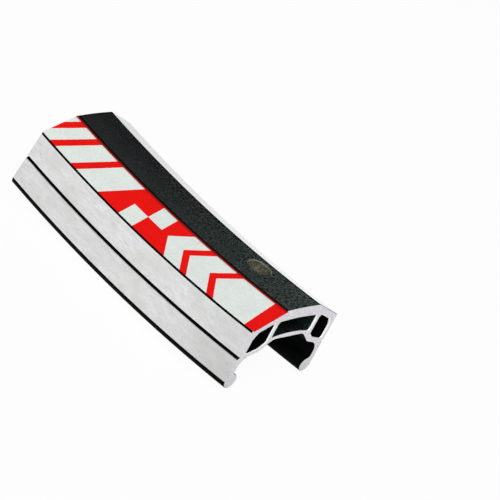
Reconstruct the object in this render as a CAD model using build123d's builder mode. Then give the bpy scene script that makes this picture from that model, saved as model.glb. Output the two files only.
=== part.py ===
from build123d import *
import math
import os

# A short sawn sample of a double-walled bicycle rim for a 26-inch wheel.
# Frame: X along the sample, Y across the rim, Z up towards the hub. The origin is on the
# floor under the middle of the sample, which stands on its two tyre hooks.

# Section of the extrusion, in millimetres and degrees
rim_width = 24.4
rim_height = 16.0
hook_diameter = 3.0
track_height = 11.1
bed_width = 9.6
bed_crown = 0.15
bed_wall = 2.4
slope_wall = 1.6
track_wall = 1.35
tyre_wall = 1.35
strut_wall = 1.05
shelf_wall = 1.0
well_wall = 0.8
centre_chamber_width = 10.8
centre_chamber_height = 3.25
chamber_flare = 0.25
cheek_width = 0.7
cheek_depth = 1.4
slanted_corner = 1.3
chamber_shift = 0.35
well_width = 8.5
ramp_angle = 40.0
ramp_rise = 2.25
shelf_angle = 15.0

# Roundings of the section
fold_radius = 0.5
knee_radius = 0.2
chamber_radius = 0.5
well_radius = 2.5
ramp_top_radius = 0.8
shelf_radius = 2.6
hook_root_radius = 0.5

# Wear groove in each brake track
groove_below_knee = 5.9
groove_width = 0.8
groove_depth = 0.5

# The sample cut from the hoop
bed_radius = 270.0
sample_length = 55.0
saw_skew = 2.5
saw_lean = 3.5
saw_allowance = 4.0
deburr = 0.12

# Spoke hole in the bed and nipple hole in the well
spoke_hole = 4.5
spoke_hole_rim = 4.8
spoke_hole_bevel = 90.0
hole_clearance = 0.15
spoke_hole_from_cut = 11.35
spoke_hole_offset = 1.2
nipple_hole = 8.0

# Printed film on the near slope
film_thickness = 0.1
film_knee_margin = 0.08
film_fold_margin = 0.12
film_overhang = 0.3
print_margin = 0.35
print_reach = 1.0
end_band = 2.2
stripe_gap = 1.6
pennant_length = 7.5
point_length = 3.0
chevron_depths = (5.0, 4.0)
check_size = 3.6
check_columns = 2
bar_widths = (6.0, 4.4, 3.0)
bar_slant = 28.0
last_block = 8.0

# Places that follow from those sizes
half_width = rim_width / 2
hook_radius = hook_diameter / 2
hook_x = half_width - hook_radius
hook_depth = rim_height - hook_radius
knee_depth = hook_depth - track_height
fold_x = bed_width / 2
slope_angle = math.degrees(math.atan2(knee_depth - bed_crown, half_width - fold_x))
slope_length = math.hypot(knee_depth - bed_crown, half_width - fold_x)
inner_wall_x = half_width - tyre_wall
well_floor = bed_wall + centre_chamber_height + well_wall
ramp_top_x = well_width / 2 + ramp_rise / math.tan(math.radians(ramp_angle))
ramp_top = well_floor + ramp_rise
hoop_height = bed_radius + rim_height
sample_angle = math.degrees(sample_length / bed_radius)
hub_axis = Axis((0, 0, hoop_height), (0, 1, 0))


def shelf(x):
    """Depth of the shelf that the tyre's bead sits on, at a distance from the middle."""
    return ramp_top + (x - ramp_top_x) * math.tan(math.radians(shelf_angle))


def under_slope(x):
    """Depth of the inside of the sloping wall, at a distance from the middle."""
    slope = math.radians(slope_angle)
    return bed_crown + (x - fold_x) * math.tan(slope) + slope_wall / math.cos(slope)


def angle_from_cut(distance):
    """Angle about the hub axis of a place on the bed, at a distance from the near cut."""
    return sample_angle / 2 - math.degrees(distance / bed_radius)


def outward(angle):
    """Direction from the hub towards the tyre."""
    return Vector(math.sin(math.radians(angle)), 0, -math.cos(math.radians(angle)))


def section_plane(angle, x=0.0, depth=0.0):
    """Plane across the rim: its x runs across, its y outwards from the bed."""
    radial = outward(angle)
    origin = Vector(0, x, hoop_height) + radial * (bed_radius + depth)
    return Plane(origin=origin, x_dir=(0, 1, 0), z_dir=radial.cross(Vector(0, -1, 0)))


def radial_plane(angle, x, depth, facing):
    """Plane across a spoke's line, facing the hub (-1) or the tyre (1)."""
    origin = Vector(0, x, hoop_height) + outward(angle) * (bed_radius + depth)
    return Plane(origin=origin, x_dir=(0, 1, 0), z_dir=outward(angle) * facing)


def slope_plane(angle):
    """Plane on the near slope at mid height: its x runs to the near cut, its y to the fold."""
    section = section_plane(angle, -(half_width + fold_x) / 2, (knee_depth + bed_crown) / 2)
    slope = math.radians(slope_angle)
    facing = section.x_dir * -math.sin(slope) + section.y_dir * -math.cos(slope)
    return Plane(origin=section.origin, x_dir=section.z_dir * -1, z_dir=facing)


def saw_plane():
    """The near cut, a little out of square both ways."""
    square = section_plane(sample_angle / 2, depth=rim_height / 2)
    across = math.tan(math.radians(saw_skew))
    down = math.tan(math.radians(saw_lean))
    into_rim = square.z_dir + square.x_dir * across - square.y_dir * down
    return Plane(origin=square.origin, x_dir=square.x_dir, z_dir=into_rim)


def both_sides(sketch, *places):
    """The outline's corners nearest to the given places and to their mirror images."""
    corners = []
    for x, depth in places:
        for side in (-1, 1):
            corners.append(sketch.vertices().sort_by_distance((side * x, depth, 0))[0])
    return corners


def saw_cuts(overhang=0.0):
    """Cuts the open part to the sample's two ends, longer by an overhang at the near one."""
    split(bisect_by=saw_plane().offset(-overhang), keep=Keep.TOP)
    split(bisect_by=section_plane(-sample_angle / 2), keep=Keep.BOTTOM)


# The rim itself: one aluminium extrusion, rolled to the hoop, its tracks machined
bed_chord = (fold_x, bed_crown)
knee = (half_width, knee_depth)
hook_centre = (half_width, hook_depth)
wall_top = (inner_wall_x, hook_depth)
shelf_corner = (inner_wall_x, shelf(inner_wall_x))
ramp_corner = (ramp_top_x, ramp_top)
floor_corner = (well_width / 2, well_floor)
half_outline = (knee, hook_centre, wall_top, shelf_corner, ramp_corner, floor_corner)
start_angle = sample_angle / 2 + math.degrees(saw_allowance / bed_radius)
turn = sample_angle + 2 * math.degrees(saw_allowance / bed_radius)

with BuildPart() as rim_extrusion:
    with BuildSketch(section_plane(start_angle)) as section:
        with BuildLine():
            bed = ThreePointArc((-fold_x, bed_crown), (0, 0), (fold_x, bed_crown))
            mirrored = [(-x, depth) for x, depth in reversed(half_outline)]
            Polyline(bed @ 1, *half_outline, *mirrored, bed @ 0)
        make_face()
        fillet(both_sides(section, bed_chord), radius=fold_radius)
        fillet(both_sides(section, knee), radius=knee_radius)
        fillet(both_sides(section, floor_corner), radius=well_radius)
        fillet(both_sides(section, ramp_corner), radius=ramp_top_radius)
        fillet(both_sides(section, shelf_corner), radius=shelf_radius)
        with Locations((-hook_x, hook_depth), (hook_x, hook_depth)):
            Circle(hook_radius)
        hook_root = hook_depth - math.sqrt(hook_radius**2 - (inner_wall_x - hook_x) ** 2)
        fillet(both_sides(section, (inner_wall_x, hook_root)), radius=hook_root_radius)
        # Wear grooves
        for side in (-1, 1):
            mouth = side * half_width
            groove = knee_depth + groove_below_knee
            with BuildLine():
                Polyline(
                    (mouth, groove - groove_width / 2),
                    (mouth, groove + groove_width / 2),
                    (mouth - side * groove_depth, groove),
                    close=True,
                )
            make_face(mode=Mode.SUBTRACT)
        # Three hollow chambers, which the die left a little to one side
        strut_x = centre_chamber_width / 2
        chamber_floor = bed_wall + centre_chamber_height
        with BuildSketch(mode=Mode.PRIVATE) as centre_chamber:
            with BuildLine():
                inner_bed = ThreePointArc(
                    (-strut_x, bed_wall + chamber_flare), (0, bed_wall), (strut_x, bed_wall + chamber_flare)
                )
                ceiling = ThreePointArc(
                    (-strut_x, chamber_floor + 2 * chamber_flare),
                    (0, chamber_floor),
                    (strut_x, chamber_floor + 2 * chamber_flare),
                )
                Line(inner_bed @ 0, ceiling @ 0)
                Line(inner_bed @ 1, ceiling @ 1)
            make_face()
            fillet(centre_chamber.vertices(), radius=chamber_radius)
        chamber_inside = strut_x + strut_wall
        chamber_outside = half_width - track_wall
        nose_x = chamber_outside - cheek_width
        ledge_x = chamber_inside + slanted_corner
        ledge_floor = shelf(ledge_x) - shelf_wall
        slant_rise = slanted_corner * math.tan(math.radians(ramp_angle))
        with BuildSketch(mode=Mode.PRIVATE) as side_chamber:
            with BuildLine():
                Polyline(
                    (chamber_inside, under_slope(chamber_inside)),
                    (nose_x, under_slope(nose_x)),
                    (chamber_outside, under_slope(nose_x) + cheek_depth),
                    (chamber_outside, shelf(chamber_outside) - shelf_wall),
                    (ledge_x, ledge_floor),
                    (chamber_inside, ledge_floor - slant_rise),
                    close=True,
                )
            make_face()
            fillet(side_chamber.vertices(), radius=chamber_radius)
        with Locations((chamber_shift, 0)):
            add(centre_chamber.sketch, mode=Mode.SUBTRACT)
            add(side_chamber.sketch, mode=Mode.SUBTRACT)
            add(mirror(side_chamber.sketch, about=Plane.YZ, mode=Mode.PRIVATE), mode=Mode.SUBTRACT)
    revolve(axis=hub_axis, revolution_arc=turn)
    saw_cuts()
    # Deburred edges of the chambers at both cuts
    for end in (0, -1):
        cut_face = rim_extrusion.faces().filter_by(GeomType.PLANE).sort_by(Axis.X)[end]
        chamfer(cut_face.inner_wires().edges(), length=deburr)
    # Spoke hole through the bed, and the nipple's way in through the well
    hole_angle = angle_from_cut(spoke_hole_from_cut)
    with Locations(radial_plane(hole_angle, spoke_hole_offset, -hole_clearance, -1)):
        CounterSinkHole(
            spoke_hole / 2, spoke_hole_rim / 2 + hole_clearance, bed_wall + 2 * hole_clearance, spoke_hole_bevel
        )
    with Locations(radial_plane(hole_angle, 0, ramp_top, 1)):
        Hole(nipple_hole / 2, ramp_top - chamber_floor + hole_clearance)
rim_extrusion.part.label = "rim_extrusion"


def film_band():
    """The printed film as a band on the near slope, its torn end proud of the near cut."""
    width = slope_length - film_knee_margin - film_fold_margin
    slope = math.radians(slope_angle)
    middle = film_fold_margin + width / 2
    x = -fold_x - middle * math.cos(slope)
    depth = bed_crown + middle * math.sin(slope)
    with BuildSketch(section_plane(start_angle)) as band:
        with Locations(Location((x, depth), -slope_angle)):
            Rectangle(width, film_thickness, align=(Align.CENTER, Align.MAX))
    revolve(band.sketch, axis=hub_axis, revolution_arc=turn)
    saw_cuts(film_overhang)


# The white shapes stop short of the fold and run over the film's lower edge
top = slope_length / 2 - film_fold_margin - print_margin
bottom = -slope_length / 2
print_centre = (top + bottom) / 2


def printed(from_cut, *points):
    """A flat shape on the film, its points counted from a place on the slope."""
    with BuildSketch(slope_plane(angle_from_cut(from_cut))) as shape:
        with BuildLine():
            Polyline(*points, close=True)
        make_face()
    extrude(shape.sketch, amount=print_reach, both=True)


# The print's white shapes, as blocks that cross the film
with BuildPart() as print_blocks:
    # A pennant, then chevrons that follow its point
    place = end_band + pennant_length / 2
    front = pennant_length / 2
    printed(
        place,
        (front, bottom),
        (front, top),
        (-front, top),
        (-front - point_length, print_centre),
        (-front, bottom),
    )
    place += front
    for depth in chevron_depths:
        place += stripe_gap + depth / 2
        printed(
            place,
            (depth / 2, bottom),
            (depth / 2 - point_length, print_centre),
            (depth / 2, top),
            (-depth / 2, top),
            (-depth / 2 - point_length, print_centre),
            (-depth / 2, bottom),
        )
        place += depth / 2
    # Two rows of checks
    place += stripe_gap + point_length
    for column in range(check_columns):
        place += check_size / 2
        half = check_size / 2
        low, high = (bottom, print_centre) if column % 2 else (print_centre, top)
        printed(place, (-half, low), (half, low), (half, high), (-half, high))
        place += check_size / 2
    # Slanted bars, each thinner than the one before
    lean = (top - bottom) / 2 * math.tan(math.radians(bar_slant))
    place += lean
    for width in bar_widths:
        place += stripe_gap + width / 2
        half = width / 2
        printed(place, (-half - lean, bottom), (half - lean, bottom), (half + lean, top), (-half + lean, top))
        place += width / 2
    # A block that runs off the far end
    place += stripe_gap + last_block / 2
    half = last_block / 2
    printed(place, (-half - lean, bottom), (half - lean, bottom), (half + lean, top), (-half + lean, top))

with BuildPart() as label_white_shapes:
    film_band()
    add(print_blocks.part, mode=Mode.INTERSECT)
label_white_shapes.part.label = "label_white_shapes"

with BuildPart() as label_red_field:
    film_band()
    add(print_blocks.part, mode=Mode.SUBTRACT)
label_red_field.part.label = "label_red_field"

os.makedirs("parts", exist_ok=True)
export_step(rim_extrusion.part, "parts/rim_extrusion.step")
export_step(label_red_field.part, "parts/label_red_field.step")
export_step(label_white_shapes.part, "parts/label_white_shapes.step")
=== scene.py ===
import math
import bmesh
import bpy
from mathutils import Matrix, Vector


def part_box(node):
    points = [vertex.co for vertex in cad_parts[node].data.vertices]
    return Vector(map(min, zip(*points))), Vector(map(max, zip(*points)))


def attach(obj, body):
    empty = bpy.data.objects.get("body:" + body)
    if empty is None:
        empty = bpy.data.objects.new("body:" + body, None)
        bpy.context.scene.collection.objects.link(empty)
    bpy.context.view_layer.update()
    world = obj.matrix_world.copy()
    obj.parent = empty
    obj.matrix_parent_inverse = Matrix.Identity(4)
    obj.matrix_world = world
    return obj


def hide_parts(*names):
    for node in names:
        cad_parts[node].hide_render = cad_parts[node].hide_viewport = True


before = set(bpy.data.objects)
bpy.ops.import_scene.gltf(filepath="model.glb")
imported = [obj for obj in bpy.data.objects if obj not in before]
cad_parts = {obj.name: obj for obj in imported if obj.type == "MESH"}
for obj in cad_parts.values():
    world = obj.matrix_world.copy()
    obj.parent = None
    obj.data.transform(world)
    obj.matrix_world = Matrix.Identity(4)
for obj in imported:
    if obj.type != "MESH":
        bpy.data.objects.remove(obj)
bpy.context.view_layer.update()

# The camera: a long lens looks down on the sawn end and the labelled side, and is turned about
# its own line of sight, so that the sample runs from the top left to the bottom right.
CAMERA_AIM = Vector((0.01339, 0.0, 0.01835))
CAMERA_AZIMUTH = -63.811
CAMERA_ELEVATION = 26.493
CAMERA_DISTANCE = 0.41072
CAMERA_ROLL = -30.5
LENS = 170.04

azimuth = math.radians(CAMERA_AZIMUTH)
elevation = math.radians(CAMERA_ELEVATION)
level = Vector((math.cos(azimuth), math.sin(azimuth), 0)) * math.cos(elevation)
towards_camera = level + Vector((0, 0, math.sin(elevation)))
camera_data = bpy.data.cameras.new("camera")
camera_data.lens = LENS
camera_data.clip_start = 0.01
camera = bpy.data.objects.new("camera", camera_data)
bpy.context.scene.collection.objects.link(camera)
upright = towards_camera.to_track_quat("Z", "Y").to_matrix().to_4x4()
place = Matrix.Translation(CAMERA_AIM + towards_camera * CAMERA_DISTANCE)
camera.matrix_world = place @ upright @ Matrix.Rotation(math.radians(-CAMERA_ROLL), 4, "Z")
bpy.context.scene.camera = camera

# The rim: one hollow extrusion of aluminium alloy, with a spoke bed, two sloping walls, two
# brake tracks, a tyre well between shelves, hooks at the edges and three chambers. It was
# drawn straight, rolled to the hoop, anodised, machined on its tracks and sawn to this sample.

# The sample's lengths are in metres where they carry MM, and otherwise in millimetres
MM = 0.001
rim_low, rim_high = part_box("rim_extrusion")
HALF_WIDTH = (rim_high.y - rim_low.y) / 2 / MM
RIM_HEIGHT = 16.0
HOOK_RADIUS = 1.5
TRACK_HEIGHT = 11.1
BED_HALF = 4.8
BED_CROWN = 0.15
BED_WALL = 2.4
SLOPE_WALL = 1.6
TRACK_WALL = 1.35
TYRE_WALL = 1.35
STRUT_WALL = 1.05
SHELF_WALL = 1.0
WELL_WALL = 0.8
CENTRE_CHAMBER_HALF = 5.4
CENTRE_CHAMBER_HEIGHT = 3.25
CHAMBER_FLARE = 0.25
CHEEK_WIDTH = 0.7
CHEEK_DEPTH = 1.4
SLANTED_CORNER = 1.3
CHAMBER_SHIFT = 0.35
WELL_HALF = 4.25
RAMP_SLOPE = math.tan(math.radians(40))
RAMP_RISE = 2.25
SHELF_SLOPE = math.tan(math.radians(15))
FOLD_RADIUS = 0.5
KNEE_RADIUS = 0.2
CHAMBER_RADIUS = 0.5
WELL_RADIUS = 2.5
RAMP_TOP_RADIUS = 0.8
SHELF_RADIUS = 2.6
HOOK_ROOT_RADIUS = 0.5
GROOVE_BELOW_KNEE = 5.9
GROOVE_HALF = 0.4
GROOVE_DEPTH = 0.5
GROOVE_LIP = 0.2
TRACK_BELOW_KNEE = 0.4
OUTER_EDGE_BREAK = 0.07
CHAMBER_EDGE_BREAK = 0.2
ARC_STEP = math.radians(9)
SUPPORT = 0.06
LONGEST_RUN = 1.2

HOOK_X = HALF_WIDTH - HOOK_RADIUS
HOOK_DEPTH = RIM_HEIGHT - HOOK_RADIUS
KNEE_DEPTH = HOOK_DEPTH - TRACK_HEIGHT
INNER_WALL_X = HALF_WIDTH - TYRE_WALL
WELL_FLOOR = BED_WALL + CENTRE_CHAMBER_HEIGHT + WELL_WALL
RAMP_TOP_X = WELL_HALF + RAMP_RISE / RAMP_SLOPE
RAMP_TOP = WELL_FLOOR + RAMP_RISE
SLOPE_ANGLE = math.atan2(KNEE_DEPTH - BED_CROWN, HALF_WIDTH - BED_HALF)
SLOPE_LENGTH = math.hypot(KNEE_DEPTH - BED_CROWN, HALF_WIDTH - BED_HALF)
GROOVE_MIDDLE = KNEE_DEPTH + GROOVE_BELOW_KNEE
TRACK_TOP = KNEE_DEPTH + TRACK_BELOW_KNEE


def shelf(x):
    """Depth of the tyre's shelf at a distance from the rim's middle."""
    return RAMP_TOP + (x - RAMP_TOP_X) * SHELF_SLOPE


def under_slope(x):
    """Depth of the sloping wall's inside at a distance from the rim's middle."""
    return BED_CROWN + (x - BED_HALF) * math.tan(SLOPE_ANGLE) + SLOPE_WALL / math.cos(SLOPE_ANGLE)


def crowned(half, middle, drop, end_radius, steps=12):
    """A shallow arc across the rim, as corners that are rounded only at its two ends."""
    radius = (half**2 + drop**2) / (2 * drop)
    across = [half * (2 * i / steps - 1) for i in range(steps + 1)]
    corners = [(x, middle + radius - math.sqrt(radius**2 - x**2), 0) for x in across]
    for end in (0, -1):
        corners[end] = (*corners[end][:2], end_radius)
    return corners


def arc(centre, radius, start, end):
    """Corners along a round stretch, from one angle to another in radians."""
    steps = math.ceil(abs(end - start) / ARC_STEP)
    angles = [start + (end - start) * i / steps for i in range(steps + 1)]
    return [(centre[0] + radius * math.cos(a), centre[1] + radius * math.sin(a), 0) for a in angles]


def rounded(corners):
    """The closed outline through the corners (across, depth, radius), each rounded by its radius."""
    outline = []
    for i, (x, depth, radius) in enumerate(corners):
        corner = Vector((x, depth))
        if radius == 0:
            outline.append(corner)
            continue
        before = (Vector(corners[i - 1][:2]) - corner).normalized()
        after = (Vector(corners[(i + 1) % len(corners)][:2]) - corner).normalized()
        half_angle = before.angle(after) / 2
        centre = corner + (before + after).normalized() * radius / math.sin(half_angle)
        first = corner + before * radius / math.tan(half_angle) - centre
        last = corner + after * radius / math.tan(half_angle) - centre
        turn = -first.angle_signed(last)
        steps = max(3, math.ceil(abs(turn) / ARC_STEP))
        for step in range(steps + 1):
            outline.append(centre + Matrix.Rotation(turn * step / steps, 2) @ first)
    return outline


def with_supports(outline):
    """The outline with more points on its straight runs, so that the roundings end crisply."""
    points = []
    for here, there in zip(outline, outline[1:] + outline[:1]):
        run = (there - here).length
        points.append(here)
        if run > 4 * SUPPORT:
            pieces = math.ceil(run / LONGEST_RUN)
            shares = [SUPPORT / run] + [i / pieces for i in range(1, pieces)] + [1 - SUPPORT / run]
            points.extend(here.lerp(there, share) for share in shares)
    return points


# Half of the outer outline, from the knee round the hook to the well
hook_fillet_x = INNER_WALL_X - HOOK_ROOT_RADIUS
root_reach = HOOK_RADIUS + HOOK_ROOT_RADIUS
hook_fillet_depth = HOOK_DEPTH - math.sqrt(root_reach**2 - (HOOK_X - hook_fillet_x) ** 2)
root_angle = math.atan2(HOOK_DEPTH - hook_fillet_depth, HOOK_X - hook_fillet_x)
half_outline = [
    (HALF_WIDTH, KNEE_DEPTH, KNEE_RADIUS),
    (HALF_WIDTH, TRACK_TOP, 0),
    (HALF_WIDTH, GROOVE_MIDDLE - GROOVE_HALF, 0),
    (HALF_WIDTH - GROOVE_DEPTH * GROOVE_LIP, GROOVE_MIDDLE - GROOVE_HALF * (1 - GROOVE_LIP), 0),
    (HALF_WIDTH - GROOVE_DEPTH, GROOVE_MIDDLE, 0),
    (HALF_WIDTH - GROOVE_DEPTH * GROOVE_LIP, GROOVE_MIDDLE + GROOVE_HALF * (1 - GROOVE_LIP), 0),
    (HALF_WIDTH, GROOVE_MIDDLE + GROOVE_HALF, 0),
    *arc((HOOK_X, HOOK_DEPTH), HOOK_RADIUS, 0, root_angle + math.pi),
    *arc((hook_fillet_x, hook_fillet_depth), HOOK_ROOT_RADIUS, root_angle, 0)[1:],
    (INNER_WALL_X, shelf(INNER_WALL_X), SHELF_RADIUS),
    (RAMP_TOP_X, RAMP_TOP, RAMP_TOP_RADIUS),
    (WELL_HALF, WELL_FLOOR, WELL_RADIUS),
]
bed = crowned(BED_HALF, 0, BED_CROWN, FOLD_RADIUS, steps=24)
outer = bed + half_outline + [(-x, depth, radius) for x, depth, radius in reversed(half_outline)]

# The three chambers, which the die left a little to one side
chamber_floor = BED_WALL + CENTRE_CHAMBER_HEIGHT
chamber_roof = crowned(CENTRE_CHAMBER_HALF, BED_WALL, CHAMBER_FLARE, CHAMBER_RADIUS)
well_side = crowned(CENTRE_CHAMBER_HALF, chamber_floor, 2 * CHAMBER_FLARE, CHAMBER_RADIUS)
centre_chamber = chamber_roof + well_side[::-1]
inside = CENTRE_CHAMBER_HALF + STRUT_WALL
outside = HALF_WIDTH - TRACK_WALL
nose = outside - CHEEK_WIDTH
ledge = inside + SLANTED_CORNER
side_chamber = [
    (inside, under_slope(inside), CHAMBER_RADIUS),
    (nose, under_slope(nose), CHAMBER_RADIUS),
    (outside, under_slope(nose) + CHEEK_DEPTH, CHAMBER_RADIUS),
    (outside, shelf(outside) - SHELF_WALL, CHAMBER_RADIUS),
    (ledge, shelf(ledge) - SHELF_WALL, CHAMBER_RADIUS),
    (inside, shelf(ledge) - SHELF_WALL - SLANTED_CORNER * RAMP_SLOPE, CHAMBER_RADIUS),
]
mirrored_chamber = [(-x, depth, radius) for x, depth, radius in reversed(side_chamber)]


def section_mesh():
    """The section as closed loops in the XY plane, X across and Y towards the hub, in metres."""
    loops = [(with_supports(rounded(outer)), OUTER_EDGE_BREAK)]
    for chamber in (centre_chamber, side_chamber, mirrored_chamber):
        outline = [point + Vector((CHAMBER_SHIFT, 0)) for point in with_supports(rounded(chamber))]
        loops.append((outline[::-1], CHAMBER_EDGE_BREAK))
    points, edges, outwards, breaks = [], [], [], []
    for outline, edge_break in loops:
        start, count = len(points), len(outline)
        for i, here in enumerate(outline):
            before = (here - outline[i - 1]).normalized()
            after = (outline[(i + 1) % count] - here).normalized()
            turned_out = Vector((before.y + after.y, before.x + after.x)) / (1 + before.dot(after))
            outwards.extend((*turned_out, 0))
            points.append((here.x * MM, -here.y * MM, 0))
            edges.append((start + i, start + (i + 1) % count))
            breaks.append(edge_break * MM)
    mesh = bpy.data.meshes.new("rim_section")
    mesh.from_pydata(points, edges, [])
    mesh.attributes.new("outward", "FLOAT_VECTOR", "POINT").data.foreach_set("vector", outwards)
    mesh.attributes.new("edge_break", "FLOAT", "POINT").data.foreach_set("value", breaks)
    return mesh


def feed(node, inputs):
    """Gives a node's inputs, by name or number, plain values or other nodes' outputs."""
    for name, value in inputs.items():
        value = value.socket if isinstance(value, Number) else value
        if isinstance(value, bpy.types.NodeSocket):
            node.id_data.links.new(value, node.inputs[name])
        else:
            node.inputs[name].default_value = value


def add(tree, kind, inputs=None, **settings):
    """A new node with its settings and its inputs."""
    node = tree.nodes.new(kind)
    for name, value in settings.items():
        setattr(node, name, value)
    feed(node, inputs or {})
    return node


class Number:
    """A number that varies in a node tree, on which plain arithmetic makes the Math nodes."""

    def __init__(self, socket):
        self.socket = socket

    def math(self, operation, *others, **settings):
        values = dict(enumerate((self, *others)))
        settings = {"operation": operation, **settings}
        return Number(add(self.socket.id_data, "ShaderNodeMath", values, **settings).outputs[0])

    def __add__(self, other):
        return self.math("ADD", other)

    def __sub__(self, other):
        return self.math("SUBTRACT", other)

    def __mul__(self, other):
        return self.math("MULTIPLY", other)

    def __truediv__(self, other):
        return self.math("DIVIDE", other)

    def over(self, limit):
        """1 where the number is over the limit, and 0 elsewhere."""
        return self.math("GREATER_THAN", limit)

    def under(self, limit):
        """1 where the number is under the limit, and 0 elsewhere."""
        return self.math("LESS_THAN", limit)

    def clamped(self):
        return self.math("ADD", 0.0, use_clamp=True)

    def between(self, low, high):
        """The share, from 0 to 1, of the way from low to high."""
        inputs = {"Value": self, "From Min": low, "From Max": high}
        return Number(add(self.socket.id_data, "ShaderNodeMapRange", inputs).outputs[0])

    def smooth(self, low, high):
        """The share of the way from low to high, eased at both ends."""
        inputs = {"Value": self, "From Min": low, "From Max": high}
        settings = {"interpolation_type": "SMOOTHSTEP"}
        return Number(add(self.socket.id_data, "ShaderNodeMapRange", inputs, **settings).outputs[0])


def parts_of(vector):
    """The three numbers of a vector."""
    return [Number(out) for out in add(vector.id_data, "ShaderNodeSeparateXYZ", {0: vector}).outputs]


def joined(tree, x, y, z):
    """A vector of three numbers."""
    return add(tree, "ShaderNodeCombineXYZ", {0: x, 1: y, 2: z}).outputs[0]


def new_group(name, kind, inputs, outputs):
    """A node group with its inputs and outputs, each (name, socket type, value)."""
    group = bpy.data.node_groups.new(name, kind)
    for direction, sockets in (("INPUT", inputs), ("OUTPUT", outputs)):
        for socket_name, socket_type, *value in sockets:
            socket = group.interface.new_socket(socket_name, in_out=direction, socket_type=socket_type)
            if value:
                socket.default_value = value[0]
    return group, group.nodes.new("NodeGroupInput").outputs, group.nodes.new("NodeGroupOutput").inputs


def number_sockets(**values):
    """Group inputs of plain numbers, each named with its value."""
    sockets = []
    for name, value in values.items():
        sockets.append((name.replace("_", " ").capitalize(), "NodeSocketFloat", value))
    return sockets


def applied(piece, group, **values):
    """Runs a geometry group on the piece, with the given inputs, and keeps the plain mesh."""
    modifier = piece.modifiers.new(group.name, "NODES")
    modifier.node_group = group
    for item in group.interface.items_tree:
        key = item.name.lower().replace(" ", "_")
        if item.in_out == "INPUT" and key in values:
            modifier[item.identifier] = values[key]
    evaluated = piece.evaluated_get(bpy.context.evaluated_depsgraph_get())
    mesh = bpy.data.meshes.new_from_object(evaluated)
    piece.modifiers.remove(modifier)
    piece.data = mesh


# Rolls a straight length to the hoop: X along it, Y across, Z towards the hub from the bed
BED_RADIUS = 270 * MM
HOOP_HEIGHT = BED_RADIUS + RIM_HEIGHT * MM
SAMPLE_LENGTH = 55 * MM
SAW_SKEW = math.tan(math.radians(2.5))
SAW_LEAN = math.tan(math.radians(3.5))
SAW_TAKE_UP = 2.0 * MM

roll_inputs = number_sockets(
    bed_radius=BED_RADIUS,
    rim_height=RIM_HEIGHT * MM,
    half_length=SAMPLE_LENGTH / 2,
    saw_skew=SAW_SKEW,
    saw_lean=SAW_LEAN,
    take_up=SAW_TAKE_UP,
)
roll, given, result = new_group(
    "roll_to_the_hoop",
    "GeometryNodeTree",
    [("Geometry", "NodeSocketGeometry"), *roll_inputs],
    [("Geometry", "NodeSocketGeometry")],
)
hoop_radius, rim_height, half_length, saw_skew, saw_lean, take_up = (Number(out) for out in given[1:7])
along, across, up = parts_of(add(roll, "GeometryNodeInputPosition").outputs[0])
depth = up * -1.0
radius = hoop_radius + depth
cut_back = (depth - rim_height / 2.0) * saw_lean - across * saw_skew
nearness = along.between(half_length - take_up, half_length)
angle = along / hoop_radius - nearness * cut_back / radius
height = hoop_radius + rim_height - radius * angle.math("COSINE")
rolled = joined(roll, radius * angle.math("SINE"), across, height)
moved = add(roll, "GeometryNodeSetPosition", {"Geometry": given[0], "Position": rolled})
roll.links.new(moved.outputs[0], result[0])


# Shared effects of the surfaces, all on Object coordinates
def new_material(name):
    """A material with its Principled BSDF, its Object coordinates and its tree."""
    material = bpy.data.materials.new(name)
    material.use_nodes = True
    tree = material.node_tree
    place = add(tree, "ShaderNodeTexCoord").outputs["Object"]
    return material, tree, tree.nodes["Principled BSDF"], place


def noise(tree, place, scale, detail=2.0, roughness=0.5):
    """A soft random pattern, about 0.5 on average."""
    inputs = {"Vector": place, "Scale": scale, "Detail": detail, "Roughness": roughness}
    return Number(add(tree, "ShaderNodeTexNoise", inputs).outputs["Fac"])


def mixed(tree, share, first, second):
    """A colour between two colours."""
    inputs = {0: share, 6: first, 7: second}
    return add(tree, "ShaderNodeMix", inputs, data_type="RGBA", clamp_factor=True).outputs[2]


def bumped(tree, height, distance):
    """A surface normal that follows a height, which counts in steps of a distance in metres."""
    return add(tree, "ShaderNodeBump", {"Height": height, "Distance": distance}).outputs[0]


def distance_from_hub(place, hoop_height):
    """The distance of a place from the hub's axis."""
    x, _, z = parts_of(place)
    return (x.math("POWER", 2.0) + (z - hoop_height).math("POWER", 2.0)).math("SQRT")


# Fine tool lines that run round the hoop, at one radius from the hub each
tool_lines, given, result = new_group(
    "tool_lines_round_the_hoop",
    "ShaderNodeTree",
    [
        ("Place", "NodeSocketVector"),
        *number_sockets(hoop_height=HOOP_HEIGHT, line_scale=5000, unevenness=0.35),
    ],
    [("Lines", "NodeSocketFloat")],
)
x, y, _ = parts_of(given[0])
hoop_height, line_scale, unevenness = (Number(out) for out in given[1:4])
round_hoop = joined(tool_lines, x * 0.02, y, distance_from_hub(given[0], hoop_height))
fine = noise(tool_lines, round_hoop, line_scale, detail=3.0, roughness=0.65)
broad = noise(tool_lines, round_hoop, line_scale * 0.12)
lines = fine + (broad - 0.5) * unevenness
tool_lines.links.new(lines.clamped().socket, result[0])

# Grain of etched metal and of ink: fine speckles and broad clouds
grain, given, result = new_group(
    "etched_grain",
    "ShaderNodeTree",
    [("Place", "NodeSocketVector"), *number_sockets(grain_scale=5500, cloud_scale=160)],
    [("Speckles", "NodeSocketFloat"), ("Clouds", "NodeSocketFloat")],
)
grain_scale, cloud_scale = (Number(out) for out in given[1:3])
speckles = noise(grain, given[0], grain_scale, roughness=0.6).smooth(0.32, 0.72)
clouds = noise(grain, given[0], cloud_scale, detail=3.0, roughness=0.55)
grain.links.new(speckles.socket, result[0])
grain.links.new(clouds.socket, result[1])


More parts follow.
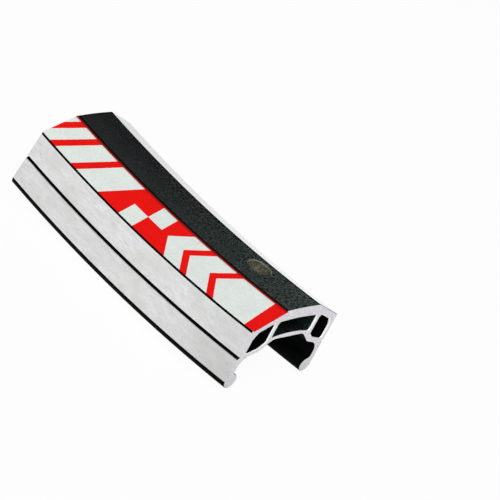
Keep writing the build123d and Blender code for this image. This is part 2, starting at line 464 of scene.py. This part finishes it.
def grained(tree, place, grain_scale, cloud_scale):
    """The speckles and clouds of a surface's grain."""
    inputs = {"Place": place, "Grain scale": grain_scale, "Cloud scale": cloud_scale}
    return [Number(out) for out in add(tree, "ShaderNodeGroup", inputs, node_tree=grain).outputs]


# How far a place lies under the spoke bed, counted outwards from the hub
depth_group, given, result = new_group(
    "depth_under_the_bed",
    "ShaderNodeTree",
    [("Place", "NodeSocketVector"), *number_sockets(hoop_height=HOOP_HEIGHT, bed_radius=BED_RADIUS)],
    [("Depth", "NodeSocketFloat")],
)
hoop_height, bed_radius = (Number(out) for out in given[1:3])
depth_group.links.new((distance_from_hub(given[0], hoop_height) - bed_radius).socket, result[0])


def depth_under_bed(tree, place):
    """The depth of a place under the spoke bed, in metres."""
    return Number(add(tree, "ShaderNodeGroup", {"Place": place}, node_tree=depth_group).outputs[0])


# Black anodised skin of the bed and the middle chamber, etched matt before it was dyed, with pale
# speckles in its grain. Towards the near end, mostly on the bed, they are lifted as a painted
# reflection.
BLACK_DYE = ((0.001, 0.003, 0.003, 1), (0.003, 0.006, 0.006, 1))
PALE_SPECKLES = (0.066, 0.096, 0.086, 1)
ETCH_DEPTH = 0.02 * MM
PAINTED_REFLECTION_SPAN = (-30 * MM, 30 * MM)
OUT_OF_CHAMBER = (2.0 * MM, 1.0 * MM)
REFLECTION_IN_CHAMBER = 0.2
REFLECTION_MORE_ON_BED = 0.95

black_anodised, tree, shader, place = new_material("black_anodised")
speckles, clouds = grained(tree, place, grain_scale=2600, cloud_scale=150)
on_bed = depth_under_bed(tree, place).smooth(*OUT_OF_CHAMBER)
# Painted reflection: the pale speckles show more towards the near end, most of all on the bed
towards_end = parts_of(place)[0].between(*PAINTED_REFLECTION_SPAN).math("POWER", 1.6)
painted_reflection = towards_end * (on_bed * REFLECTION_MORE_ON_BED + REFLECTION_IN_CHAMBER)
dyed = mixed(tree, clouds.between(0.35, 0.65), *BLACK_DYE)
feed(shader, {
    "Base Color": mixed(tree, speckles * painted_reflection, dyed, PALE_SPECKLES),
    "Roughness": speckles * 0.25 + 0.15,
    "Normal": bumped(tree, speckles, ETCH_DEPTH),
})

# The smoother skin of the slopes, which mirrors a pale room when seen along it
SLOPE_SPECKLES = (0.045, 0.064, 0.058, 1)

sealed_slope, tree, shader, place = new_material("sealed_slope")
speckles, clouds = grained(tree, place, grain_scale=2600, cloud_scale=150)
dyed = mixed(tree, clouds.between(0.35, 0.65), *BLACK_DYE)
feed(shader, {
    "Base Color": mixed(tree, speckles * 0.8, dyed, SLOPE_SPECKLES),
    "Roughness": speckles * 0.2 + 0.1,
    "Normal": bumped(tree, speckles, ETCH_DEPTH),
    "Coat Weight": 1.0,
    "Coat Roughness": 0.05,
    "Sheen Weight": 0.12,
    "Sheen Roughness": 0.25,
})

# The same skin as a darker, duller copy, which paints shade on folds, grooves, hooks, channel and side
# chambers
SHADE_BLACK = ((0.0005, 0.0006, 0.0006, 1), (0.0025, 0.003, 0.003, 1))

# Painted shade: a darker copy of the black skin, with almost no reflection
shaded_black, tree, shader, place = new_material("deep_black_anodised")
speckles, clouds = grained(tree, place, grain_scale=2600, cloud_scale=400)
feed(shader, {
    "Base Color": mixed(tree, (speckles * 0.5 + clouds * 0.5).clamped(), *SHADE_BLACK),
    "Roughness": speckles * 0.2 + 0.5,
    "Specular IOR Level": 0.02,
})

# Brake tracks, machined bare, mottled and lightly stroked along the hoop. They are stained in
# places, scratched in others, darker towards the near end, and darker down by the hooks: painted
# shade.
MACHINED_METAL = ((0.60, 0.60, 0.60, 1), (0.86, 0.86, 0.87, 1))
STAIN = (0.60, 0.61, 0.54, 1)
DARKENED_METAL = (0.45, 0.45, 0.44, 1)
SCRATCH = (0.36, 0.34, 0.40, 1)
TOOL_MARK_DEPTH = 0.006 * MM
TOWARDS_NEAR_END = (10 * MM, 29 * MM)
SHADE_TOWARDS_HOOK = (8.5 * MM, 6.0 * MM)
DARKER_AT_END = 0.3
MORE_SHADE_AT_END_BY_HOOK = 0.2
SHADE_BY_HOOK = 0.12

machined_track, tree, shader, place = new_material("machined_track")
inputs = {"Place": place, "Line scale": 4200}
lines = Number(add(tree, "ShaderNodeGroup", inputs, node_tree=tool_lines).outputs[0])
x, y, z = parts_of(place)
speckles, clouds = grained(tree, joined(tree, x * 0.35, y, z), grain_scale=2600, cloud_scale=800)
mottle = (lines * 0.35 + clouds.between(0.3, 0.7) * 0.3 + speckles * 0.35).clamped()
bare = mixed(tree, mottle, *MACHINED_METAL)
tints = noise(tree, place, scale=190, detail=1.0)
stained = mixed(tree, tints.smooth(0.50, 0.68) * 0.35, bare, STAIN)
# Painted shade: darker towards the bottom by the hooks, more so at the near end, which is also darker
shade_by_hook = z.smooth(*SHADE_TOWARDS_HOOK)
darkening = x.smooth(*TOWARDS_NEAR_END) * (shade_by_hook * MORE_SHADE_AT_END_BY_HOOK + DARKER_AT_END)
darkening = darkening + shade_by_hook * SHADE_BY_HOOK
darkened = mixed(tree, darkening, stained, DARKENED_METAL)
along_hoop = joined(tree, x * 0.12 + z * 0.02, y, z)
scratches = noise(tree, along_hoop, scale=5200, detail=1.0)
scratched = scratches.smooth(0.66, 0.74) * tints.smooth(0.56, 0.44)
feed(shader, {
    "Base Color": mixed(tree, scratched * 0.45, darkened, SCRATCH),
    "Roughness": lines * 0.12 + speckles * 0.12 + 0.36,
    "Normal": bumped(tree, lines + speckles * 0.5, TOOL_MARK_DEPTH),
    "Metallic": 0.7,
})

# Sawn faces, bright with fine saw marks, and darker towards the bottom by the hooks as painted shade
SAWN_METAL = ((0.54, 0.52, 0.57, 1), (1.0, 0.98, 1.0, 1))
SAWN_SHADE = (0.50, 0.50, 0.50, 1)
SAW_MARK_DEPTH = 0.01 * MM
SHADE_DOWN_THE_CUT = (9.0 * MM, 0.0)

sawn_end, tree, shader, place = new_material("sawn_end")
x, y, z = parts_of(place)
across_cut = joined(tree, x, y * 0.15 + z * 0.04, z)
marks = noise(tree, across_cut, scale=6000, detail=3.0, roughness=0.6)
speckles, clouds = grained(tree, place, grain_scale=3000, cloud_scale=400)
bare = mixed(tree, (marks * 0.6 + speckles * 0.4).clamped(), *SAWN_METAL)
feed(shader, {
    # Painted shade: the sawn face darkens towards the bottom
    "Base Color": mixed(tree, z.smooth(*SHADE_DOWN_THE_CUT) * 0.55, bare, SAWN_SHADE),
    "Roughness": marks * 0.15 + 0.38,
    "Normal": bumped(tree, marks + speckles * 0.4, SAW_MARK_DEPTH),
    "Metallic": 0.6,
})

# Edges of the chambers, scraped bare after sawing, and brighter than the sawn face as a painted
# highlight
SCRAPED_HIGHLIGHT_METAL = ((0.86, 0.86, 0.87, 1), (0.98, 0.98, 0.98, 1))

scraped_edge, tree, shader, place = new_material("scraped_edge")
speckles, clouds = grained(tree, place, grain_scale=3000, cloud_scale=900)
feed(shader, {
    "Base Color": mixed(tree, (speckles * 0.4 + clouds * 0.6).clamped(), *SCRAPED_HIGHLIGHT_METAL),
    "Roughness": speckles * 0.2 + 0.4,
    "Metallic": 0.2,
})

# Walls of the drilled holes, torn metal with swarf and olive oxide on it, darkened as painted shade,
# least at the spoke hole's mouth
SHADED_TORN_METAL = ((0.047, 0.047, 0.030, 1), (0.125, 0.125, 0.083, 1))
MOUTH = (0.33, 0.34, 0.30, 1)
SWARF = (0.50, 0.49, 0.41, 1)
TEAR_DEPTH = 0.02 * MM
TOWARDS_MOUTH = (0.3 * MM, 0.05 * MM)

drilled_wall, tree, shader, place = new_material("drilled_wall")
speckles, clouds = grained(tree, place, grain_scale=4500, cloud_scale=900)
# Painted shade: the torn metal is dark, and lighter towards the mouth
shaded_torn = mixed(tree, clouds.between(0.3, 0.65), *SHADED_TORN_METAL)
at_mouth = depth_under_bed(tree, place).smooth(*TOWARDS_MOUTH)
shaded_torn = mixed(tree, at_mouth * 0.6, shaded_torn, MOUTH)
feed(shader, {
    "Base Color": mixed(tree, speckles.between(0.6, 1.0), shaded_torn, SWARF),
    "Roughness": speckles * 0.3 + 0.3,
    "Normal": bumped(tree, clouds + speckles * 0.4, TEAR_DEPTH),
    "Metallic": 0.3,
})

# The sweep: the section carried along the sample, rounded over at both ends, and closed
STATIONS = 56
BREAK_STEPS = 4
SHARP_ANGLE = math.radians(28)
WELD = 0.001 * MM
FOLD_LINE = 0.45 * MM
BORDER = 0.05 * MM
FLUSH = 0.0005 * MM
STRAIGHT = math.pi * 0.999
DRILL_REACH = 0.6 * MM
SPOKE_HOLE_FROM_CUT = 11.35 * MM
SPOKE_HOLE_OFFSET = 1.2 * MM
SPOKE_HOLE_RADIUS = 2.25 * MM
SPOKE_HOLE_BEVEL = 0.15 * MM
NIPPLE_HOLE_RADIUS = 4.0 * MM
HOLE_SIDES = 96
HOLE_RINGS = 4

sweep_inputs = number_sockets(
    sample_length=SAMPLE_LENGTH,
    half_width=HALF_WIDTH * MM,
    hole_from_cut=SPOKE_HOLE_FROM_CUT,
    spoke_hole_offset=SPOKE_HOLE_OFFSET,
    spoke_hole_radius=SPOKE_HOLE_RADIUS,
    spoke_hole_bevel=SPOKE_HOLE_BEVEL,
    nipple_hole_radius=NIPPLE_HOLE_RADIUS,
    bed_wall=BED_WALL * MM,
    chamber_height=CENTRE_CHAMBER_HEIGHT * MM,
    shelf_depth=RAMP_TOP * MM,
    knee_depth=KNEE_DEPTH * MM,
    track_top=TRACK_TOP * MM,
    groove_middle=GROOVE_MIDDLE * MM,
    bed_half=BED_HALF * MM,
)
sweep, given, result = new_group(
    "sawn_and_drilled_extrusion",
    "GeometryNodeTree",
    [("Geometry", "NodeSocketGeometry"), *sweep_inputs],
    [("Geometry", "NodeSocketGeometry")],
)
length, half_width, from_cut, hole_offset, hole_radius = (Number(out) for out in given[1:6])
bevel, nipple_radius, bed_wall, chamber_height, shelf_depth = (Number(out) for out in given[6:11])
knee_depth, track_top, groove_middle, bed_half = (Number(out) for out in given[11:15])


def stored(name, kind, domain, geometry, value):
    """The geometry with a named value kept on it."""
    inputs = {"Geometry": geometry, "Name": name, "Value": value}
    settings = {"data_type": kind, "domain": domain}
    return add(sweep, "GeometryNodeStoreNamedAttribute", inputs, **settings).outputs[0]


def recalled(name, kind):
    """A named value kept on the geometry."""
    return add(sweep, "GeometryNodeInputNamedAttribute", {"Name": name}, data_type=kind).outputs[0]


def with_material(geometry, material, selection=None):
    """The geometry with a material on all or some of its faces."""
    inputs = {"Geometry": geometry, "Material": material}
    if selection is not None:
        inputs["Selection"] = selection
    return add(sweep, "GeometryNodeSetMaterial", inputs).outputs[0]


def join(tree, *geometries):
    """Several geometries as one."""
    node = tree.nodes.new("GeometryNodeJoinGeometry")
    for geometry in geometries:
        tree.links.new(geometry, node.inputs[0])
    return node.outputs[0]


profile = add(sweep, "GeometryNodeMeshToCurve", {"Mesh": given[0]}).outputs[0]
position = add(sweep, "GeometryNodeInputPosition").outputs[0]
profile = stored("place", "FLOAT_VECTOR", "POINT", profile, position)
line = add(sweep, "GeometryNodeCurvePrimitiveLine").outputs[0]
count = STATIONS + 2 * BREAK_STEPS
path = add(sweep, "GeometryNodeResampleCurve", {"Curve": line, "Count": count}).outputs[0]
path = stored("station", "FLOAT", "POINT", path, add(sweep, "GeometryNodeInputIndex").outputs[0])
walls = add(sweep, "GeometryNodeCurveToMesh", {"Curve": path, "Profile Curve": profile}).outputs[0]
walls = add(sweep, "GeometryNodeFlipFaces", {"Mesh": walls}).outputs[0]

station = Number(recalled("station", "FLOAT"))
place_x, place_y, _ = parts_of(recalled("place", "FLOAT_VECTOR"))
out_x, out_y, _ = parts_of(recalled("outward", "FLOAT_VECTOR"))
edge_break = Number(recalled("edge_break", "FLOAT"))
last = float(count - 1)
from_far = station.between(0.0, float(BREAK_STEPS)) * (math.pi / 2)
from_near = (station * -1.0 + last).between(0.0, float(BREAK_STEPS)) * (math.pi / 2)
inset = edge_break * (from_far.math("SINE") * -1.0 - from_near.math("SINE") + 2.0)
share = station.between(float(BREAK_STEPS), last - BREAK_STEPS)
along = (share - 0.5) * (length - edge_break * 2.0)
along = along + edge_break * (from_near.math("COSINE") - from_far.math("COSINE"))
swept = joined(sweep, along, place_x - out_x * inset, place_y - out_y * inset)
walls = add(sweep, "GeometryNodeSetPosition", {"Geometry": walls, "Position": swept}).outputs[0]

at_side = place_x.math("ABSOLUTE")
from_bed = place_y * -1.0
deep = from_bed.over(knee_depth - KNEE_RADIUS * 0.5 * MM)
from_groove = (from_bed - groove_middle).math("ABSOLUTE")
by_groove = from_groove.under(GROOVE_HALF * MM + BORDER)
bare_depth = by_groove * (GROOVE_DEPTH * GROOVE_LIP) * MM + FLUSH
track = at_side.over(half_width - bare_depth) * from_bed.over(track_top)
slope_skin = at_side.over(bed_half)
by_fold = at_side.over(bed_half - FOLD_LINE) * (bed_half + BORDER - at_side).over(0.0)
chamber = edge_break.over((OUTER_EDGE_BREAK + CHAMBER_EDGE_BREAK) / 2 * MM)
rounding = (from_near + from_far).under(STRAIGHT)
middle_chamber = chamber * at_side.under((CENTRE_CHAMBER_HALF + STRUT_WALL / 2) * MM)
# Where the darker copy of the black skin paints shade: below the knee, chambers, folds and rounded
# ends
painted_shade = deep.math("MAXIMUM", chamber).math("MAXIMUM", by_fold).math("MAXIMUM", rounding)
walls = with_material(walls, black_anodised)
walls = with_material(walls, sealed_slope, slope_skin)
walls = with_material(walls, shaded_black, painted_shade)
walls = with_material(walls, black_anodised, middle_chamber)
walls = with_material(walls, machined_track, track)
# Painted highlight: the chambers' rounded edges at the cuts, bare metal made brighter than the face
walls = with_material(walls, scraped_edge, rounding * chamber)

pieces = [walls]
inwards = joined(sweep, out_x * edge_break * -1.0, out_y * edge_break * -1.0, 0.0)
shrunk = add(sweep, "GeometryNodeSetPosition", {"Geometry": profile, "Offset": inwards}).outputs[0]
cut_face = add(sweep, "GeometryNodeFillCurve", {"Curve": shrunk}).outputs[0]
cut_face = with_material(cut_face, sawn_end)
flat_x, flat_y, _ = parts_of(position)
for side in (-1, 1):
    at_end = joined(sweep, length * (side / 2), flat_x, flat_y)
    end = add(sweep, "GeometryNodeSetPosition", {"Geometry": cut_face, "Position": at_end}).outputs[0]
    if side < 0:
        end = add(sweep, "GeometryNodeFlipFaces", {"Mesh": end}).outputs[0]
    pieces.append(stored("cut_face", "BOOLEAN", "FACE", end, True))
closed = join(sweep, *pieces)
closed = add(sweep, "GeometryNodeMergeByDistance", {"Geometry": closed, "Distance": WELD}).outputs[0]
rolled = add(sweep, "GeometryNodeGroup", {"Geometry": closed}, node_tree=roll).outputs[0]

# Drills: plain round tools on the spoke's line, turned to it about the hub axis
hole_angle = (length / 2.0 - from_cut) / BED_RADIUS


def on_spoke_line(tool, offset, height):
    """A tool moved across the rim, set at a height over the bed and turned to the spoke's line."""
    from_hub = joined(sweep, 0.0, offset, height - BED_RADIUS)
    inputs = {"Geometry": tool, "Translation": from_hub}
    moved = add(sweep, "GeometryNodeTransform", inputs).outputs[0]
    turned = joined(sweep, 0.0, hole_angle * -1.0, 0.0)
    inputs = {"Geometry": moved, "Rotation": turned, "Translation": (0, 0, HOOP_HEIGHT)}
    aligned = add(sweep, "GeometryNodeTransform", inputs).outputs[0]
    return stored("drilled", "BOOLEAN", "FACE", aligned, True)


def cylinder(radius, depth):
    """A round tool about its own middle."""
    inputs = {"Vertices": HOLE_SIDES, "Side Segments": HOLE_RINGS, "Radius": radius, "Depth": depth}
    return add(sweep, "GeometryNodeMeshCylinder", inputs).outputs[0]


def cone(radius_bottom, radius_top, depth):
    """A tapered tool on its foot."""
    inputs = {"Vertices": HOLE_SIDES, "Depth": depth}
    inputs |= {"Radius Bottom": radius_bottom, "Radius Top": radius_top}
    return add(sweep, "GeometryNodeMeshCone", inputs).outputs[0]


spoke_drill = cylinder(hole_radius, bed_wall + DRILL_REACH * 2.0)
spoke_drill = on_spoke_line(spoke_drill, hole_offset, bed_wall * -0.5)
countersink = cone(hole_radius - bevel, hole_radius + bevel * 2.0, bevel * 3.0)
countersink = on_spoke_line(countersink, hole_offset, bevel * -2.0)
drill_start = bed_wall + chamber_height / 2.0
drill_end = shelf_depth + DRILL_REACH
nipple_drill = cylinder(nipple_radius, drill_end - drill_start)
nipple_drill = on_spoke_line(nipple_drill, 0.0, (drill_start + drill_end) * -0.5)
drilled = rolled
for tool in (spoke_drill, countersink, nipple_drill):
    inputs = {"Mesh 1": drilled, "Mesh 2": tool}
    settings = {"operation": "DIFFERENCE", "solver": "MANIFOLD"}
    drilled = add(sweep, "GeometryNodeMeshBoolean", inputs, **settings).outputs[0]

edge_angle = Number(add(sweep, "GeometryNodeInputMeshEdgeAngle").outputs[0])
smooth = add(sweep, "GeometryNodeSetShadeSmooth", {"Geometry": drilled}).outputs[0]
inputs = {"Geometry": smooth, "Selection": edge_angle.over(SHARP_ANGLE), "Shade Smooth": False}
smooth = add(sweep, "GeometryNodeSetShadeSmooth", inputs, domain="EDGE").outputs[0]
inputs = {"Geometry": smooth, "Selection": recalled("cut_face", "BOOLEAN"), "Shade Smooth": False}
smooth = add(sweep, "GeometryNodeSetShadeSmooth", inputs).outputs[0]
realised = add(sweep, "GeometryNodeRealizeInstances", {"Geometry": smooth}).outputs[0]
finished = with_material(realised, drilled_wall, recalled("drilled", "BOOLEAN"))
sweep.links.new(finished, result[0])

rim = bpy.data.objects.new("rim", section_mesh())
bpy.context.scene.collection.objects.link(rim)
applied(rim, sweep)
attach(rim, "root")
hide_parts("rim_extrusion")

# The label: a printed film on the near slope, red with white shapes of its own making. It was
# laid on after the tracks were machined, and sawn through with the rim. Its two colours are one
# film, kept here as two pieces that fit into each other.
FILM_THICKNESS = 0.1 * MM
FILM_KNEE_MARGIN = 0.08
FILM_FOLD_MARGIN = 0.12
FILM_OVERHANG = 0.3 * MM
FOLD_SHADE_STRIP = (0.8 * MM, 0.16 * MM)
FILM_STATIONS = 111
FILM_ROWS = 9
PRINT_MARGIN = 0.35
END_BAND = 2.2
STRIPE_GAP = 1.6
PENNANT_LENGTH = 7.5
POINT_LENGTH = 3.0
CHEVRON_DEPTHS = (5.0, 4.0)
CHECK_SIZE = 3.6
CHECK_COLUMNS = 2
BAR_WIDTHS = (6.0, 4.4, 3.0)
LAST_BLOCK = 8.0
BAR_SLANT = math.tan(math.radians(28))
CUT_REACH = 2.0
RED_INK = ((0.79, 0.002, 0.001, 1), (0.88, 0.004, 0.001, 1))
WHITE_INK = ((0.72, 0.77, 0.73, 1), (0.81, 0.865, 0.82, 1))
FOLD_SHADE_INK = (0.03, 0.001, 0.001, 1)
INK_RIPPLE = 0.02 * MM

film_top = SLOPE_LENGTH / 2 - FILM_FOLD_MARGIN
film_bottom = FILM_KNEE_MARGIN - SLOPE_LENGTH / 2
print_top = film_top - PRINT_MARGIN
print_bottom = -SLOPE_LENGTH / 2
print_middle = (print_top + print_bottom) / 2
slope_across = -(HALF_WIDTH + BED_HALF) / 2
slope_depth = (KNEE_DEPTH + BED_CROWN) / 2


def printed_shapes():
    """The white shapes as (distance of the middle from the near cut, points along and up)."""
    front = PENNANT_LENGTH / 2
    place = END_BAND + front
    outline = [(front, print_bottom), (front, print_top), (-front, print_top)]
    shapes = [(place, [*outline, (-front - POINT_LENGTH, print_middle), (-front, print_bottom)])]
    place += front
    for chevron in CHEVRON_DEPTHS:
        half = chevron / 2
        place += STRIPE_GAP + half
        nose = [(half, print_bottom), (half - POINT_LENGTH, print_middle), (half, print_top)]
        tail = [(x - chevron, y) for x, y in reversed(nose)]
        shapes.append((place, nose + tail))
        place += half
    place += STRIPE_GAP + POINT_LENGTH
    half = CHECK_SIZE / 2
    for column in range(CHECK_COLUMNS):
        low, high = (print_bottom, print_middle) if column % 2 else (print_middle, print_top)
        shapes.append((place + half, [(-half, low), (half, low), (half, high), (-half, high)]))
        place += CHECK_SIZE
    lean = (print_top - print_bottom) / 2 * BAR_SLANT
    place += lean
    for width in (*BAR_WIDTHS, LAST_BLOCK):
        half = width / 2
        place += STRIPE_GAP + half
        foot = [(-half - lean, print_bottom), (half - lean, print_bottom)]
        shapes.append((place, foot + [(half + lean, print_top), (-half + lean, print_top)]))
        place += half
    return shapes


def print_blocks():
    """The shapes as upright blocks through the film, which lies flat in the XY plane."""
    points, faces = [], []
    at_slope = BED_RADIUS / (BED_RADIUS + slope_depth * MM)
    for place, outline in printed_shapes():
        along = SAMPLE_LENGTH / MM / 2 - place
        start, count = len(points), len(outline)
        for height in (-CUT_REACH, CUT_REACH):
            points += [((along + x * at_slope) * MM, y * MM, height * MM) for x, y in outline]
        foot = list(range(start, start + count))
        roof = [i + count for i in foot]
        sides = [(foot[i - 1], foot[i], roof[i], roof[i - 1]) for i in range(count)]
        faces += [foot[::-1], roof, *sides]
    mesh = bpy.data.meshes.new("print_blocks")
    mesh.from_pydata(points, [], faces)
    fixed = bmesh.new()
    fixed.from_mesh(mesh)
    bmesh.ops.recalc_face_normals(fixed, faces=fixed.faces)
    fixed.to_mesh(mesh)
    fixed.free()
    return mesh


film, given, result = new_group(
    "printed_film_on_the_slope",
    "GeometryNodeTree",
    [
        ("Geometry", "NodeSocketGeometry"),
        ("White shapes", "NodeSocketBool", False),
        ("Ink", "NodeSocketMaterial"),
        *number_sockets(
            sample_length=SAMPLE_LENGTH,
            overhang=FILM_OVERHANG,
            film_bottom=film_bottom * MM,
            film_top=film_top * MM,
            film_thickness=FILM_THICKNESS,
            slope_angle=SLOPE_ANGLE,
            slope_across=slope_across * MM,
            slope_depth=slope_depth * MM,
        ),
    ],
    [("Geometry", "NodeSocketGeometry")],
)
length, overhang, bottom, top, thickness, slope, across, depth = (Number(out) for out in given[3:11])
size = joined(film, length + overhang, top - bottom, thickness)
cube = {"Size": size, "Vertices X": FILM_STATIONS, "Vertices Y": FILM_ROWS}
flat = add(film, "GeometryNodeMeshCube", cube).outputs[0]
raised = joined(film, overhang / 2.0, (top + bottom) / 2.0, thickness / 2.0)
flat = add(film, "GeometryNodeTransform", {"Geometry": flat, "Translation": raised}).outputs[0]
field = add(film, "GeometryNodeMeshBoolean", {"Mesh 1": flat}, operation="DIFFERENCE", solver="EXACT")
shapes = add(film, "GeometryNodeMeshBoolean", {"Mesh 2": flat}, operation="INTERSECT", solver="EXACT")
for part in (field, shapes):
    film.links.new(given[0], part.inputs["Mesh 2"])
inputs = {"Switch": given[1], "False": field.outputs[0], "True": shapes.outputs[0]}
chosen = add(film, "GeometryNodeSwitch", inputs, input_type="GEOMETRY").outputs[0]
turn = joined(film, slope, 0.0, 0.0)
place = joined(film, 0.0, across, depth * -1.0)
inputs = {"Geometry": chosen, "Rotation": turn, "Translation": place}
laid = add(film, "GeometryNodeTransform", inputs).outputs[0]
rolled = add(film, "GeometryNodeGroup", {"Geometry": laid}, node_tree=roll).outputs[0]
inputs = {"Geometry": rolled, "Shade Smooth": False}
flat_shaded = add(film, "GeometryNodeSetShadeSmooth", inputs).outputs[0]
realised = add(film, "GeometryNodeRealizeInstances", {"Geometry": flat_shaded}).outputs[0]
inked = add(film, "GeometryNodeSetMaterial", {"Geometry": realised, "Material": given[2]}).outputs[0]
film.links.new(inked, result[0])


def printed_ink(name, ink):
    """Gloss printed film, its ink a little uneven, and darkened along its edge by the fold as painted
    shade.
    """
    material, tree, shader, place = new_material(name)
    speckles, clouds = grained(tree, place, grain_scale=1800, cloud_scale=260)
    cover = (clouds * 0.7 + speckles * 0.3).between(0.25, 0.75)
    # Painted shade: a dark strip along the film's edge by the fold
    fold_shade = parts_of(place)[1].smooth(*(-BED_HALF * MM - strip for strip in FOLD_SHADE_STRIP))
    feed(shader, {
        "Base Color": mixed(tree, fold_shade * 0.8, mixed(tree, cover, *ink), FOLD_SHADE_INK),
        "Roughness": speckles * 0.1 + 0.34,
        "Normal": bumped(tree, clouds, INK_RIPPLE),
        "Specular IOR Level": 0.2,
    })
    return material


label_red = printed_ink("label_red_ink", RED_INK)
label_white = printed_ink("label_white_ink", WHITE_INK)
for name, node, slot, white, ink in (
    ("label_red", "label_red_field", "label_red", False, label_red),
    ("label_white", "label_white_shapes", "label_white", True, label_white),
):
    piece = bpy.data.objects.new(name, print_blocks())
    bpy.context.scene.collection.objects.link(piece)
    applied(piece, film, white_shapes=white, ink=ink)
    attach(piece, "root")
    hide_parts(node)

# Floor and light: a white paper floor that keeps the sample's shadow and looks white to the
# camera, a pale room that is dark overhead, and one large soft lamp high on the near side.
FLOOR_REACH = 3.0
PAPER = (0.9, 0.9, 0.9, 1)
PAPER_GLOW = 0.95
WHITE = (1, 1, 1, 1)

floor_mesh = bpy.data.meshes.new("floor")
corners = [(-FLOOR_REACH, -FLOOR_REACH, 0), (FLOOR_REACH, -FLOOR_REACH, 0)]
corners += [(FLOOR_REACH, FLOOR_REACH, 0), (-FLOOR_REACH, FLOOR_REACH, 0)]
floor_mesh.from_pydata(corners, [], [(0, 1, 2, 3)])
floor = bpy.data.objects.new("floor", floor_mesh)
bpy.context.scene.collection.objects.link(floor)
paper, tree, shader, _ = new_material("white_paper")
feed(shader, {"Base Color": PAPER, "Roughness": 0.9})
rays = add(tree, "ShaderNodeLightPath").outputs
direct = Number(rays["Is Camera Ray"]) + Number(rays["Is Glossy Ray"])
direct = direct + Number(rays["Is Transmission Ray"])
glow = add(tree, "ShaderNodeEmission", {"Color": WHITE, "Strength": 1.0}).outputs[0]
inputs = {0: direct.clamped() * PAPER_GLOW, 1: shader.outputs[0], 2: glow}
blend = add(tree, "ShaderNodeMixShader", inputs).outputs[0]
tree.links.new(blend, tree.nodes["Material Output"].inputs["Surface"])
floor_mesh.materials.append(paper)

# The room's light by direction: on the camera's side it falls off upwards, and behind the sample
# it is bright low down and higher up, with a dark band between
HORIZON_LIGHT = 1.0
OVERHEAD_LIGHT = 0.2
LIGHT_BEHIND = 0.3
HORIZON_BEHIND = 0.9
CAMERA_SIDE = (0.15, -0.25)
FALLS_OFF_IN_FRONT = (0.36, 0.06)
RISES_BEHIND = (0.42, 0.60)
FALLS_OFF_BEHIND = (0.14, 0.04)

world = bpy.data.worlds.new("studio")
bpy.context.scene.world = world
world.use_nodes = True
tree = world.node_tree
direction = parts_of(add(tree, "ShaderNodeTexCoord").outputs["Object"])
in_front = direction[1].smooth(*CAMERA_SIDE)
front = direction[2].smooth(*FALLS_OFF_IN_FRONT) * (HORIZON_LIGHT - OVERHEAD_LIGHT)
front = front + OVERHEAD_LIGHT
behind = direction[2].smooth(*RISES_BEHIND) * LIGHT_BEHIND
behind = behind + direction[2].smooth(*FALLS_OFF_BEHIND) * HORIZON_BEHIND
sky = in_front * (front - behind) + behind
seen = Number(add(tree, "ShaderNodeLightPath").outputs["Is Camera Ray"])
feed(tree.nodes["Background"], {"Color": WHITE, "Strength": sky.math("MAXIMUM", seen)})

KEY_PLACE = Vector((0.45, -0.85, 0.75))
KEY_WIDTH = 0.8
KEY_POWER = 12.5

key_data = bpy.data.lights.new("key", "AREA")
key_data.shape = "DISK"
key_data.size = KEY_WIDTH
key_data.energy = KEY_POWER
key = bpy.data.objects.new("key", key_data)
bpy.context.scene.collection.objects.link(key)
aimed = KEY_PLACE.to_track_quat("Z", "Y").to_matrix().to_4x4()
key.matrix_world = Matrix.Translation(KEY_PLACE) @ aimed

bpy.context.scene.view_settings.view_transform = "Standard"
